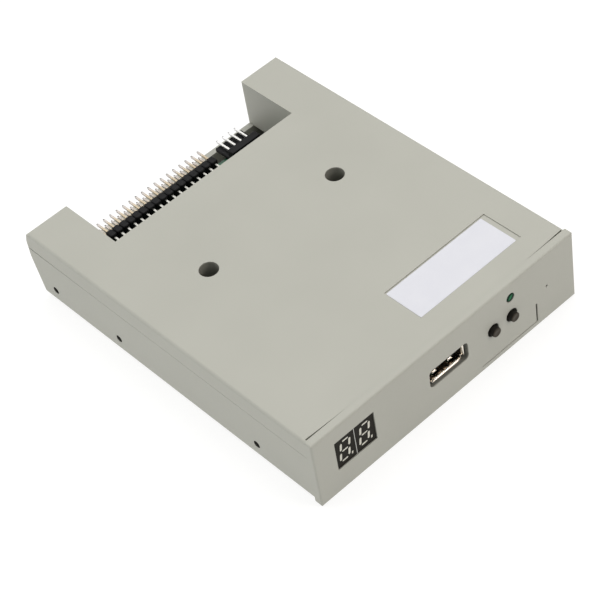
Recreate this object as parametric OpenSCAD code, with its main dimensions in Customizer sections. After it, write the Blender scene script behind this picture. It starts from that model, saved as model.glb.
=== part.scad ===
// Floppy drive emulator: a 3.5 inch drive case with a memory stick socket, a two-digit display,
// two push buttons, a status lamp, and data and power headers in a bay at the rear.
// X runs to the right, Y to the rear and Z up, in millimetres. The origin is the middle of the
// footprint on the plane that the front panel stands on.

/* [Case] */
// Width of the front panel
panel_w = 101.6; // [98:0.1:108]
// Height of the front panel
panel_h = 25.4; // [24.5:0.1:32]
// Thickness of the front panel
panel_t = 2.65; // [2:0.05:4]
// Radius of the front panel's edges
panel_r = 0.6; // [0.3:0.1:1]
// Depth from the panel's face to the rear of the case, at the seam
case_depth = 125.2; // [122:0.1:150]
// How far the panel stands out past each side of the case
panel_overhang = 0.2; // [0:0.05:1]
// How far the panel reaches below the case
panel_drop = 1; // [0.5:0.1:2]
// How far the cover's top lies below the panel's upper edge
cover_drop = 0.4; // [0:0.05:1]
// Wall thickness of both shells
wall = 2; // [1.6:0.1:3]
// Thickness of the base's floor
floor_t = 2; // [1.5:0.1:3]
// Thickness of the cover's top
roof_t = 2; // [1.5:0.1:3]
// Height of the cover's side walls
cover_side_h = 6.5; // [5:0.1:9]
// Gap between the two shells, at the middle of a side
seam = 0.1; // [0.05:0.05:0.4]
// How much wider that gap is at the rear corners
seam_spread = 0.4; // [0:0.05:0.5]
// Gap between the front panel and the cover, at the middle
panel_seam = 0.1; // [0.05:0.05:0.4]
// How much wider that gap is at the corners
panel_seam_spread = 0.7; // [0:0.05:0.8]
// How far the cover's rear leans in from the seam to its top
cover_lean = 1.9; // [0.2:0.1:3]
// How far the base's rear leans in from the seam to its foot
rear_lean = 3.6; // [0.2:0.1:4]
// Radius of the case's outer edges
edge_r = 1; // [0.3:0.1:1.4]
// Height of the lap that locates the cover
lap_h = 1.2; // [0.6:0.1:2]
// Thickness of the lap
lap_t = 0.9; // [0.5:0.1:1.2]

/* [Connector bay] */
// Depth of the bay, from the rear of the case
bay_depth = 25.5; // [20:0.1:28]
// How far the ends of the bay's side walls lie in from the rear of the case
bay_end_gap = 1.8; // [0.5:0.1:1.9]
// Thickness of the bay's walls
bay_wall = 1.8; // [1.2:0.1:2.5]
// Radius of the bay's two rear edges
bay_edge_r = 0.8; // [0.3:0.1:1]
// Height of the bay's front wall below the cover's top
bay_skirt_h = 8; // [4:0.1:9]
// Space beside the data header, to the bay's left wall
bay_left_gap = 5.45; // [3:0.05:9]
// Space between the two headers
header_gap = 4.6; // [2:0.1:9]
// Space beside the power header, to the bay's right wall
bay_right_gap = 6.05; // [3:0.05:9]
// Height of the low rear wall above the case's bottom
rear_lip_h = 6.8; // [3:0.1:7]

/* [Side holes] */
// Diameter of the holes in the sides, for self-tapping 3 mm screws
side_hole_d = 2.5; // [2:0.1:3.2]
// Rear hole, from the rear of the case
side_hole_inset = 9.8; // [8:0.1:14]
// Distance from the front hole to the middle hole
side_span_short = 60; // [40:0.1:62]
// Distance from the front hole to the rear hole
side_span_long = 90; // [70:0.1:92]
// Height of the holes above the case's bottom
side_hole_h = 5; // [4.5:0.1:5.5]
// Length of the pad round each hole
pad_w = 7; // [5:0.1:9]
// Depth of the pad inside the wall
pad_t = 4; // [2:0.1:6]

/* [Cover screws] */
// Distance between the two screw wells
well_span = 50; // [40:0.1:60]
// Place of the wells, from the panel's face
well_y = 69.8; // [66:0.1:74]
// Diameter of the wells
well_d = 6; // [5.8:0.1:7]
// Wall of the tubes round the wells
well_wall = 1.6; // [1:0.1:2]
// Thickness of the seat under the screw head
seat_t = 2.5; // [1.5:0.1:4]
// Diameter of the cover screws
cover_screw_d = 3; // [2.5:0.1:3.5]
// Length of the cover screws under the head
cover_screw_l = 9; // [6:0.1:9.5]
// Diameter of the bosses that take the cover screws
boss_d = 8; // [6:0.1:9]
// How far the bosses stand above the board
boss_rise = 0.6; // [0.4:0.1:1.5]

/* [Label] */
// Width of the label
label_w = 38.1; // [20:0.1:45]
// Depth of the label
label_l = 13.7; // [8:0.1:18]
// Thickness of the label
label_t = 0.15; // [0.1:0.05:0.3]
// Middle of the label, from the case's middle
label_x = 19.85; // [0:0.05:24]
// Middle of the label, from the panel's face
label_y = 17.2; // [14:0.1:24]
// Room for the label at the right of its recess
label_room_x = 1.75; // [0.2:0.05:3]
// Room for the label at the rear of its recess
label_room_y = 0.5; // [0.2:0.05:2]
// Depth of the label's recess
label_recess = 0.3; // [0.2:0.05:0.8]

/* [Board] */
// Height of the standoffs under the board
standoff_h = 5.3; // [5:0.1:6]
// Diameter of the standoffs
standoff_d = 6; // [5:0.1:8]
// Thickness of the board
board_t = 1.6; // [1:0.1:2]
// Gap from the board to the side walls
board_side_gap = 2.6; // [1:0.1:4]
// Gap from the board to the front panel
board_front_gap = 1.2; // [0.6:0.1:1.2]
// Gap from the board to the rear of the case
board_rear_gap = 10.5; // [8:0.1:11]
// Gap from the board to the bay's walls
board_bay_gap = 0.7; // [0.3:0.1:2]
// Edge of the board beside the power header
board_power_edge = 1.2; // [0.8:0.1:2.5]
// Diameter of the board screws
board_screw_d = 2.5; // [2:0.1:3]
// Length of the board screws under the head
board_screw_l = 6; // [4:0.1:6.5]
// Screw holes, from the board's sides
board_hole_side = 5; // [4:0.1:7]
// Front screw holes, from the board's front edge
board_hole_front = 18.2; // [16:0.1:22]
// Rear screw holes, from the wide part's rear edge
board_hole_rear = 7.2; // [5:0.1:10]

/* [Display] */
// Middle of the display, from the panel's left edge
display_from_left = 14.9; // [12:0.05:17]
// Width of the display
display_w = 14.5; // [12:0.1:16]
// Height of the display
display_h = 10.9; // [10:0.1:11.5]
// Depth of the display's housing
display_deep = 6.2; // [5.8:0.1:7]
// How far the display's face lies behind the panel's face
display_recess = 0.3; // [0.05:0.05:0.6]
// Middle of the display, above the board
display_rise = 4.3; // [3.8:0.1:4.8]
// Width of the bright joint between the two digits
display_joint = 0.25; // [0.1:0.05:0.5]
// Distance from the bottom segment to the top one
digit_h = 7.3; // [6:0.1:7.6]
// Distance from the left segments to the right ones
digit_w = 3.15; // [2.6:0.05:3.5]
// Width of the upright segments
segment_w = 0.75; // [0.5:0.05:1]
// Width of the level segments
segment_level_w = 0.55; // [0.4:0.05:1]
// How much shorter a segment is than the side of the digit it stands for
segment_gap = 0.9; // [0.3:0.05:1.2]
// Lean of the digits, in degrees
digit_lean = 8; // [0:1:12]

/* [Socket] */
// Middle of the socket, from the case's middle
socket_x = -0.2; // [-5:0.1:5]
// Width inside the socket's shell
socket_w = 12.5; // [12:0.05:13]
// Height inside the socket's shell
socket_h = 5.12; // [5:0.02:5.4]
// Thickness of the shell's sheet
sheet_t = 0.3; // [0.2:0.05:0.4]
// Length of the shell
socket_l = 14; // [13:0.1:16]
// How far the socket's mouth lies behind the panel's face
socket_recess = 1.1; // [0.5:0.1:2]
// Height of the socket's plastic foot
socket_foot = 0.8; // [0.4:0.1:1.2]
// Room between the shell and the opening, at the sides
socket_room_x = 1.05; // [0.9:0.05:1.5]
// Room between the shell and the opening, above and below
socket_room_z = 0.5; // [0.4:0.05:0.8]

/* [Buttons and lamp] */
// Diameter of the buttons
button_d = 3.1; // [2.6:0.1:3.8]
// Radius of the buttons' front edges
button_r = 0.5; // [0.2:0.1:1]
// How far the buttons stand out of the panel
button_out = 1.6; // [0.6:0.1:2]
// Travel of the buttons
button_travel = 0.25; // [0.15:0.05:0.25]
// Diameter of the panel's holes for the buttons
button_hole_d = 4.4; // [4.2:0.1:5]
// Distance between the buttons
button_pitch = 7.5; // [6.5:0.1:9]
// Right button, from the panel's right edge
button_from_right = 25.9; // [23:0.1:30]
// Width and height of a key switch
switch_w = 6; // [5.8:0.1:6.2]
// Depth of a key switch
switch_deep = 3.5; // [3.5:0.1:4.5]
// Diameter of the lamp
lamp_d = 3; // [2.5:0.1:3.2]
// Height of the lamp above the board
lamp_rise = 10.1; // [9:0.1:11]
// How far the lamp's tip lies behind the panel's face
lamp_recess = 0; // [0:0.1:1]
// Radius of the lamp's tip
lamp_r = 0.4; // [0.2:0.1:1.2]
// Diameter of the small hole near the panel's right edge
pinhole_d = 0.8; // [0.5:0.1:1.2]

/* [Headers] */
// Pin pitch of the data header
data_pitch = 2.54; // [2.54:0.01:2.6]
// Columns of pins in the data header
data_columns = 17; // [13:1:17]
// Thickness of the square pins
pin_w = 0.64; // [0.5:0.01:0.7]
// Depth of the data header's insulator
data_deep = 3.1; // [2.4:0.1:3.4]
// Length of the data pins behind the insulator
data_pin_out = 5.8; // [5:0.1:8]
// Data header, from the board's rear edge
data_from_rear = 0.1; // [0.1:0.1:3]
// Pin pitch of the power header
power_pitch = 2.5; // [2.5:0.01:2.6]
// Width of the power header
power_w = 11.4; // [10.8:0.1:13]
// Depth of the power header's block
power_deep = 2.7; // [2.4:0.1:4]
// Height of the power header's block
power_h = 5.1; // [4.6:0.1:6]
// Power header, from the board's rear edge
power_from_rear = 2.3; // [1.5:0.1:3]
// Height of the power pins above the board
power_pin_h = 2.7; // [2.4:0.1:3]
// Length of the power header's tongue
power_tongue = 6.8; // [5:0.1:7.5]

/* [Board parts] */
// Processor and crystal, from the board's front edge
processor_y = 51; // [45:0.1:55]
// Width of the processor
processor_w = 10; // [7:0.1:12]
// Thickness of the processor
processor_t = 1.4; // [1:0.1:1.6]
// Lead pitch of the processor
processor_pitch = 0.5; // [0.4:0.05:0.5]
// Distance from the processor to the crystal
crystal_step = 16; // [12:0.1:18]
// Width of the crystal's can
crystal_w = 4.3; // [3.5:0.1:5]
// Length of the crystal's can
crystal_l = 10.6; // [9:0.1:11]
// Height of the crystal's can
crystal_h = 3.4; // [2.5:0.1:4]
// Distance between the crystal's leads
crystal_leads_span = 4.88; // [4:0.01:5.2]
// Length of a logic chip
logic_l = 8.65; // [8.6:0.05:10]
// Width of a logic chip
logic_w = 3.9; // [3.8:0.1:4.5]
// Thickness of a logic chip
logic_t = 1.5; // [1.2:0.1:1.8]
// Lead pitch of a logic chip
logic_pitch = 1.27; // [1.2:0.01:1.27]
// Row of chips in front of the data header, from the board's rear edge
rear_row = 24; // [22:0.1:26]
// Middle of the left buffer chip, from the case's middle
buffer_left_x = -20; // [-26:0.1:-18]
// Middle of the right buffer chip, from the case's middle
buffer_right_x = -6; // [-7:0.1:-4]
// Display driver, from the board's front edge
driver_y = 18; // [16:0.1:22]
// Display driver, from the left screw hole
driver_step = 13; // [10:0.1:16]
// Regulator, from the right screw hole
regulator_step = 9; // [7.5:0.1:12]
// Width of the regulator
regulator_w = 6.5; // [5:0.1:7]
// Depth of the regulator
regulator_l = 3.5; // [3:0.1:4]
// Thickness of the regulator
regulator_t = 1.6; // [1.4:0.1:1.8]
// Lead pitch of the regulator
regulator_pitch = 2.3; // [2:0.1:2.3]
// Diameter of the electrolytic capacitors
capacitor_d = 6.3; // [5:0.1:8]
// Height of a capacitor's can
capacitor_h = 4.9; // [4:0.1:7]
// Height of a capacitor's base
capacitor_base_h = 0.9; // [0.6:0.1:1.2]
// Right capacitor, from the right screw hole
capacitor_step = 8; // [6:0.1:10]
// Right capacitor, from the board's front edge
capacitor_right_y = 40; // [36:0.1:46]
// Left capacitor, from the case's middle
capacitor_left_x = 12; // [10:0.1:14]
// Left capacitor, from the board's front edge
capacitor_left_y = 32; // [28:0.1:36]
// First jumper pins, from the case's middle
jumper_x = 2.5; // [2:0.1:4]
// First jumper pins, from the board's rear edge
jumper_y = 30; // [30:0.1:34]
// Height of the jumper and service pins above the board
upright_pin_h = 8.5; // [7:0.1:9]
// Height of the jumper's shunt
shunt_h = 6.4; // [5:0.1:7]
// First service pin, from the left screw hole
service_step = 11; // [9:0.1:14]
// Service pins, from the board's front edge
service_y = 36; // [34:0.1:44]
// Length of a chip resistor or capacitor
chip_l = 2; // [1.6:0.1:3.2]
// Width of a chip resistor or capacitor
chip_w = 1.25; // [0.8:0.05:1.6]
// Thickness of a chip resistor
resistor_t = 0.5; // [0.4:0.05:0.7]
// Thickness of a chip capacitor
chip_cap_t = 0.8; // [0.6:0.05:1.2]
// Pitch of the rows of chip resistors and capacitors
chip_pitch = 3; // [2:0.1:3.4]
// Row of chip resistors, behind the processor
resistor_step = 13; // [10:0.1:14]
// Row of chip capacitors, in front of the processor
chip_cap_step = 8.5; // [8.2:0.1:10]

/* [Hidden] */
$fn = 64;

shell_grey = "#bdbdb2";
board_green = "#1f5c3a";
black_plastic = "#1c1c1d";
tin_plate = "#c9c9c6";
gold_plate = "#c8a24a";

// Clearances
slip = 0.02;       // square pins in their insulators
thread_gap = 0.05; // screws in their plastic bosses
run_gap = 0.08;    // button stems and the lamp in their holes
window_gap = 0.08; // display in the panel's window
lap_gap = 0.1;     // cover over the base's lap
clear_gap = 0.3;   // pieces that only pass each other
cut = 1;           // how far a cutting shape runs past what it cuts

// Case
frame_y = -(case_depth - button_out) / 2;
case_w = panel_w - 2 * panel_overhang;
case_z = panel_drop;
cover_z = panel_h - cover_drop;
seam_z = cover_z - cover_side_h;
floor_z = case_z + floor_t;
roof_z = cover_z - roof_t;
in_x = case_w / 2 - wall;
lip_z = case_z + rear_lip_h;
side_hole_y = case_depth - side_hole_inset - side_span_long;
side_holes_y = [side_hole_y, side_hole_y + side_span_short, side_hole_y + side_span_long];
side_hole_z = case_z + side_hole_h;

// Board
board_z = floor_z + standoff_h;
board_top = board_z + board_t;
board_x = in_x - board_side_gap;
board_front = panel_t + board_front_gap;
board_rear = case_depth - board_rear_gap;
tail_z = board_z - 1.2;
pin_hole_d = sqrt(2) * pin_w + 0.1;

// Headers and the bay round them
data_len = data_columns * data_pitch;
bay_w = bay_left_gap + data_len + header_gap + power_w + bay_right_gap;
bay_y = case_depth - bay_depth;
bay_end_y = case_depth - bay_end_gap;
data_x = -bay_w / 2 + bay_left_gap + data_pitch / 2;
data_y = board_rear - data_from_rear;
data_leg_y = [for (row = [0, 1]) data_y - data_deep - data_pitch * (row + 0.5)];
data_row_z = [for (row = [0, 1]) board_top + data_pitch * (row + 0.5)];
power_x = -bay_w / 2 + bay_left_gap + data_len + header_gap + power_w / 2;
power_y = board_rear - power_from_rear;
power_leg_y = power_y - power_deep - 1.2;
power_pins_x = [for (i = [0:3]) power_x + (i - 1.5) * power_pitch];
power_tip_y = data_y + data_pin_out;
tongue_z = board_top + 0.4;
tongue_t = 1.2;
wide_end = bay_y - bay_wall - 0.6;
board_hole_x = board_x - board_hole_side;
board_holes_y = [board_front + board_hole_front, wide_end - board_hole_rear];
board_bay_left = -bay_w / 2 + board_bay_gap;
board_bay_right = power_x + power_w / 2 + board_power_edge;

// Cover screws
boss_top = board_top + boss_rise;
tube_z = boss_top + seam;
seat_z = tube_z + seat_t;
wells_x = [-well_span / 2, well_span / 2];

// Display
display_x = -panel_w / 2 + display_from_left;
display_z = board_top + display_rise;
face_t = 0.3;
display_rear = display_recess + display_deep;
display_board_y = display_rear + 0.5;
display_board_t = 1.2;
display_board_rim = 1.8;
display_board_w = display_w + 2 * display_board_rim;
display_board_h = display_h + 2 * display_board_rim;
display_pin_column = 5.08;
display_pin_pitch = 2;
display_notch_x = display_x + display_board_w / 2 + 0.6;
link_y = display_board_y + display_board_t;
link_pitch = 2.54;
link_pins_x = [for (i = [0:4]) display_x + (i - 2) * link_pitch];
link_z = board_top + link_pitch / 2;
link_leg_y = link_y + 1.5 * link_pitch;

// Socket
socket_z = board_top + socket_foot;
socket_mid_z = socket_z + sheet_t + socket_h / 2;
socket_rear = socket_recess + socket_l;
tongue_front = socket_recess + 1;
socket_block = socket_recess + 10;
socket_contacts_x = [for (step = [-3.5, -1, 1, 3.5]) socket_x + step];
socket_legs_y = socket_recess + 7;
socket_leg_w = 2.2;
socket_tails_y = socket_rear + 0.9;

// Buttons and lamp
button_x = panel_w / 2 - button_from_right;
buttons_x = [button_x - button_pitch, button_x];
button_z = board_top + switch_w / 2;
switch_y = panel_t + 1;
plate_t = 0.3;
switch_rear = switch_y + switch_deep;
flange_d = button_d + 0.7;
flange_y = switch_y + plate_t + 0.05;
flange_t = 0.7;
nub_t = 0.4;
dome_y = flange_y + flange_t + nub_t + button_travel + 0.05;
dome_rise = 0.5;
legs_y = [switch_rear - 2.4, switch_rear - 0.6];
lamp_x = button_x;
lamp_z = board_top + lamp_rise;
lamp_rim_y = panel_t + 1.6;
lamp_rim_t = 1;
lamp_lead_y = switch_rear + 1.8;
lamp_leads_x = [lamp_x - 1.27, lamp_x + 1.27];
lead_w = 0.5;

// Pieces on the board, each at [x, y]
processor_at = [0, board_front + processor_y];
crystal_at = processor_at - [crystal_step, 0];
service_at = [-board_hole_x + service_step, board_front + service_y];
regulator_at = [board_hole_x - regulator_step, board_rear - rear_row];
driver_at = [-board_hole_x + driver_step, board_front + driver_y];
capacitors_at = [[board_hole_x - capacitor_step, board_front + capacitor_right_y],
    [capacitor_left_x, board_front + capacitor_left_y]];
buffers_at = [[buffer_left_x, board_rear - rear_row], [buffer_right_x, board_rear - rear_row]];
jumper_at = [jumper_x, board_rear - jumper_y];
resistors_at = [for (i = [0:7]) processor_at + [(i - 4) * chip_pitch, resistor_step]];
chip_caps_at = [for (i = [0:5]) processor_at + [(i - 2.5) * chip_pitch, -chip_cap_step]];
processor_size = [processor_w, processor_w, processor_t];
logic_size = [logic_l, logic_w, logic_t];
regulator_size = [regulator_w, regulator_l, regulator_t];
chip_lift = 0.1;
crystal_leads_y = [for (side = [-1, 1]) crystal_at.y + side * crystal_leads_span / 2];

// Outline and block shapes

// A rectangle from lo to hi with its corners rounded: low left, low right, high right, high left
module soft_rect(lo, hi, r) {
    corners = [lo, [hi.x, lo.y], hi, [lo.x, hi.y]];
    sides = [[-1, -1], [1, -1], [1, 1], [-1, 1]];
    difference() {
        translate(lo)
            square(hi - lo);
        for (i = [0:3])
            if (r[i] > 0)
                translate(corners[i])
                    mirror([sides[i].x > 0 ? 1 : 0, 0])
                        mirror([0, sides[i].y > 0 ? 1 : 0])
                            difference() {
                                translate([-cut, -cut])
                                    square(r[i] + cut);
                                translate([r[i], r[i]])
                                    circle(r[i]);
                            }
    }
}

module along_x(x0, x1) {
    translate([x0, 0, 0])
        rotate([90, 0, 90])
            linear_extrude(x1 - x0)
                children();
}

module along_y(y0, y1) {
    translate([0, y1, 0])
        rotate([90, 0, 0])
            linear_extrude(y1 - y0)
                children();
}

module along_z(z0, z1) {
    translate([0, 0, z0])
        linear_extrude(z1 - z0)
            children();
}

module block(lo, hi) {
    translate(lo)
        cube(hi - lo);
}

module rod_y(x, z, d, y0, y1) {
    translate([x, y0, z])
        rotate([-90, 0, 0])
            cylinder(d = d, h = y1 - y0);
}

module rod_z(x, y, d, z0, z1) {
    translate([x, y, z0])
        cylinder(d = d, h = z1 - z0);
}

// A turned shape whose outline has x as its radius and y along the axis, which points to the rear
module turned_y(x, y, z) {
    translate([x, y, z])
        rotate([-90, 0, 0])
            rotate_extrude()
                children();
}

module in_frame() {
    translate([0, frame_y, 0])
        children();
}

// Case

// Place of the rear at a height: it leans in from the seam to the foot and to the top
function rear_y(z) = case_depth - rear_lean * max(0, seam_z - z) / (seam_z - case_z)
    - cover_lean * max(0, z - seam_z) / (cover_z - seam_z);

// Side view of the closed case, furthest back at the seam
module case_side() {
    rise = seam_z - case_z;
    slant = sqrt(rise * rise + rear_lean * rear_lean);
    foot = [rear_y(case_z + edge_r) - edge_r * slant / rise, case_z + edge_r];
    heel = foot + edge_r * [rise, -rear_lean] / slant;
    fall = cover_z - seam_z;
    slope = sqrt(fall * fall + cover_lean * cover_lean);
    crown = [rear_y(cover_z - edge_r) - edge_r * slope / fall, cover_z - edge_r];
    brow = crown + edge_r * [fall, cover_lean] / slope;
    polygon([[0, case_z], [foot.x, case_z], heel, [case_depth, seam_z],
        brow, [crown.x, cover_z], [0, cover_z]]);
    translate(foot)
        circle(edge_r);
    translate(crown)
        circle(edge_r);
}

// Outer form of the closed case, from y0 back and between two heights
module case_form(y0, z0, z1) {
    r = edge_r;
    intersection() {
        along_y(y0, case_depth)
            soft_rect([-case_w / 2, case_z], [case_w / 2, cover_z], [r, r, r, r]);
        along_x(-case_w / 2, case_w / 2)
            case_side();
        along_z(z0, z1)
            soft_rect([-case_w / 2, y0], [case_w / 2, case_depth], [0, 0, r, r]);
    }
}

module panel_form() {
    r = panel_r;
    intersection() {
        along_y(0, panel_t)
            soft_rect([-panel_w / 2, 0], [panel_w / 2, panel_h], [r, r, r, r]);
        along_x(-panel_w / 2, panel_w / 2)
            soft_rect([0, 0], [panel_t, panel_h], [r, r, 0, r]);
        along_z(0, panel_h)
            soft_rect([-panel_w / 2, 0], [panel_w / 2, panel_t], [r, r, 0, 0]);
    }
}

module base_hollow() {
    along_x(-in_x, in_x)
        polygon([[panel_t, floor_z], [rear_y(floor_z) - wall, floor_z], [case_depth - wall, seam_z],
            [case_depth - wall, seam_z + cut], [panel_t, seam_z + cut]]);
}

// Openings of the front panel
module panel_openings() {
    window = [display_w / 2 + window_gap, display_h / 2 + window_gap];
    mouth = [socket_w / 2 + sheet_t + socket_room_x, socket_h / 2 + sheet_t + socket_room_z];
    mouth_r = 1.5;
    along_y(-cut, panel_t + cut) {
        translate([display_x, display_z])
            square(2 * window, center = true);
        translate([socket_x, socket_mid_z])
            soft_rect(-mouth, mouth, [mouth_r, mouth_r, mouth_r, mouth_r]);
    }
    for (x = buttons_x)
        rod_y(x, button_z, button_hole_d, -cut, panel_t + cut);
    rod_y(lamp_x, lamp_z, lamp_d + 2 * run_gap, -cut, panel_t + cut);
    rod_y(panel_w / 2 - 11.5, button_z, pinhole_d, -cut, panel_t + cut);
}

// Shallow moulded line at the panel's lower right, with an upright leg and a long level one
module panel_groove() {
    right = panel_w / 2 - 15.7;
    left = panel_w / 2 - 38.8;
    low = 1.9;
    high = 9.2;
    upright_w = 0.65;
    upright_deep = 1;
    level_w = 0.4;
    level_deep = 0.15;
    block([right - upright_w, -cut, low], [right, upright_deep, high]);
    block([left, -cut, low], [right, level_deep, low + level_w]);
}

module base_shell() {
    color(shell_grey)
        in_frame()
            difference() {
                union() {
                    difference() {
                        union() {
                            panel_form();
                            case_form(panel_t - 0.5, case_z, seam_z - seam);
                        }
                        base_hollow();
                        rear_gap_x = bay_w / 2 + bay_wall + seam;
                        block([-rear_gap_x, case_depth - rear_lean - wall - cut, lip_z],
                            [rear_gap_x, case_depth + cut, seam_z + cut]);
                    }
                    for (side = [0, 1])
                        mirror([side, 0, 0])
                            base_side_details();
                    for (x = wells_x)
                        rod_z(x, well_y, boss_d, floor_z - 0.5, boss_top);
                }
                panel_openings();
                panel_groove();
                for (x = [-board_hole_x, board_hole_x], y = board_holes_y)
                    rod_z(x, y, board_screw_d + 2 * thread_gap, floor_z, board_z + cut);
                for (x = wells_x)
                    rod_z(x, well_y, cover_screw_d + 2 * thread_gap, floor_z, boss_top + cut);
                for (side = [0, 1], y = side_holes_y)
                    mirror([side, 0, 0])
                        translate([in_x - pad_t - cut, y, side_hole_z])
                            rotate([0, 90, 0])
                                cylinder(d = side_hole_d, h = wall + pad_t + 2 * cut);
            }
}

// Lap, screw pads and standoffs on the right side of the base
module base_side_details() {
    block([in_x, panel_t - 0.5, seam_z - seam - 0.5],
        [in_x + lap_t, case_depth - 2 * wall, seam_z + lap_h]);
    for (y = side_holes_y)
        block([in_x - pad_t, y - pad_w / 2, floor_z - 0.5],
            [in_x + 0.5, y + pad_w / 2, board_z - clear_gap]);
    for (y = board_holes_y)
        rod_z(board_hole_x, y, standoff_d, floor_z - 0.5, board_z);
}

// Side and front walls of the connector bay, hanging from the cover's top
module bay_walls() {
    out_x = bay_w / 2 + bay_wall;
    for (side = [0, 1])
        mirror([side, 0, 0])
            block([bay_w / 2, bay_y - bay_wall, lip_z + seam], [out_x, bay_end_y, roof_z + 0.5]);
    block([-out_x, bay_y - bay_wall, cover_z - bay_skirt_h], [out_x, bay_y, roof_z + 0.5]);
}

// What is cut off the upright edges at the bay's rear to round them
module bay_edge_cuts() {
    for (side = [0, 1])
        mirror([side, 0, 0])
            along_z(case_z, cover_z + cut)
                difference() {
                    translate([bay_w / 2 - cut, bay_end_y - bay_edge_r])
                        square([bay_edge_r + cut, bay_edge_r + cut]);
                    translate([bay_w / 2 + bay_edge_r, bay_end_y - bay_edge_r])
                        circle(bay_edge_r);
                }
}

// Share of a gap's extra width at a place along a side, from -1 at one end to 1 at the other
function spread(t) = pow(t, 4);

// What is cut off the cover's edges so that its gaps widen: the front one toward both corners, where
// it stays on the top, and the side ones toward the rear
module seam_cuts() {
    places = [-1:0.1:1];
    rear_places = [for (t = [3:10]) t / 10];
    front = panel_t + panel_seam;
    half_x = case_w / 2 - edge_r;
    half_y = (case_depth - front) / 2 + cut;
    mid_y = (case_depth + front) / 2;
    along_z(seam_z - cut, cover_z + cut)
        polygon([[half_x, front - cut], [-half_x, front - cut],
            for (t = places) [t * half_x, front + panel_seam_spread * spread(t)]]);
    for (side = [0, 1])
        mirror([side, 0, 0])
            along_x(in_x + lap_t, case_w / 2 + cut)
                polygon([[mid_y + half_y, seam_z - cut], [mid_y + rear_places[0] * half_y, seam_z - cut],
                    for (t = rear_places) [mid_y + t * half_y, seam_z + seam_spread * spread(t)]]);
}

module top_cover() {
    recess_lo = [label_x - label_w / 2 - 0.15, label_y - label_l / 2 - 0.15];
    recess_hi = [label_x + label_w / 2 + label_room_x, label_y + label_l / 2 + label_room_y];
    color(shell_grey)
        in_frame()
            difference() {
                union() {
                    difference() {
                        case_form(panel_t + panel_seam, seam_z, cover_z);
                        along_x(-in_x, in_x)
                            polygon([[0, seam_z - cut], [case_depth - wall, seam_z - cut],
                                [case_depth - wall, seam_z], [rear_y(roof_z) - wall, roof_z], [0, roof_z]]);
                        block([-bay_w / 2, bay_y, case_z], [bay_w / 2, case_depth + cut, cover_z + cut]);
                        block([-bay_w / 2 - bay_wall, bay_end_y, case_z],
                            [bay_w / 2 + bay_wall, case_depth + cut, cover_z + cut]);
                        for (side = [0, 1])
                            mirror([side, 0, 0])
                                block([in_x - cut, 0, seam_z - cut],
                                    [in_x + lap_t + lap_gap, case_depth - 2 * wall + lap_gap,
                                        seam_z + lap_h + lap_gap]);
                    }
                    bay_walls();
                    for (x = wells_x)
                        rod_z(x, well_y, well_d + 2 * well_wall, tube_z, roof_z + 0.5);
                }
                for (x = wells_x) {
                    rod_z(x, well_y, well_d, seat_z, cover_z + cut);
                    rod_z(x, well_y, cover_screw_d + 2 * clear_gap, tube_z - cut, seat_z + cut);
                }
                along_z(cover_z - label_recess, cover_z + cut)
                    translate(recess_lo)
                        square(recess_hi - recess_lo);
                bay_edge_cuts();
                seam_cuts();
            }
}

module label() {
    color("#f2f3f4")
        in_frame()
            block([label_x - label_w / 2, label_y - label_l / 2, cover_z - label_recess],
                [label_x + label_w / 2, label_y + label_l / 2, cover_z - label_recess + label_t]);
}

// A pan-head screw with a cross recess, its head seated at z and its shank pointing down
module pan_screw(x, y, z, d, l, head_d, head_h) {
    slot_w = 0.18 * head_d;
    slot_l = 0.62 * head_d;
    slot_deep = 0.55 * head_h;
    translate([x, y, z])
        difference() {
            union() {
                rotate_extrude()
                    soft_rect([0, 0], [head_d / 2, head_h], [0, 0, head_h * 0.6, 0]);
                translate([0, 0, -l])
                    cylinder(d = d, h = l + head_h / 2);
            }
            for (turn = [0, 90])
                rotate(turn)
                    translate([-slot_l / 2, -slot_w / 2, head_h - slot_deep])
                        cube([slot_l, slot_w, head_h]);
        }
}

module cover_screws() {
    color("#8d8e90")
        in_frame()
            for (x = wells_x)
                pan_screw(x, well_y, seat_z, cover_screw_d, cover_screw_l, well_d - 0.5, 2);
}

module board_screws() {
    color("#b9b9b6")
        in_frame()
            for (x = [-board_hole_x, board_hole_x], y = board_holes_y)
                pan_screw(x, y, board_top, board_screw_d, board_screw_l, 2 * board_screw_d, 1.7);
}

// Board

module board_holes() {
    for (x = [-board_hole_x, board_hole_x], y = board_holes_y)
        translate([x, y])
            circle(d = board_screw_d + 0.4);
    for (x = wells_x)
        translate([x, well_y])
            circle(d = boss_d + 1);
    for (i = [0:data_columns - 1], y = data_leg_y)
        translate([data_x + i * data_pitch, y])
            circle(d = pin_hole_d);
    for (x = power_pins_x)
        translate([x, power_leg_y])
            circle(d = pin_hole_d);
    for (x = link_pins_x)
        translate([x, link_leg_y])
            circle(d = pin_hole_d);
    for (x = lamp_leads_x)
        translate([x, lamp_lead_y])
            circle(d = pin_hole_d);
    for (x = buttons_x, side = [-1, 1], y = legs_y)
        translate([x + side * (switch_w / 2 - 0.6), y])
            circle(d = pin_hole_d);
    for (x = socket_contacts_x)
        translate([x, socket_tails_y])
            circle(d = pin_hole_d);
    for (side = [-1, 1])
        translate([socket_x + side * (socket_w + sheet_t) / 2, socket_legs_y + socket_leg_w / 2])
            square([sheet_t + 0.5, socket_leg_w + 0.5], center = true);
    for (p = jumper_pin_places())
        translate(p)
            circle(d = pin_hole_d);
    for (p = service_pin_places())
        translate(p)
            circle(d = pin_hole_d);
    for (y = crystal_leads_y)
        translate([crystal_at.x, y])
            circle(d = pin_hole_d);
}

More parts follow.
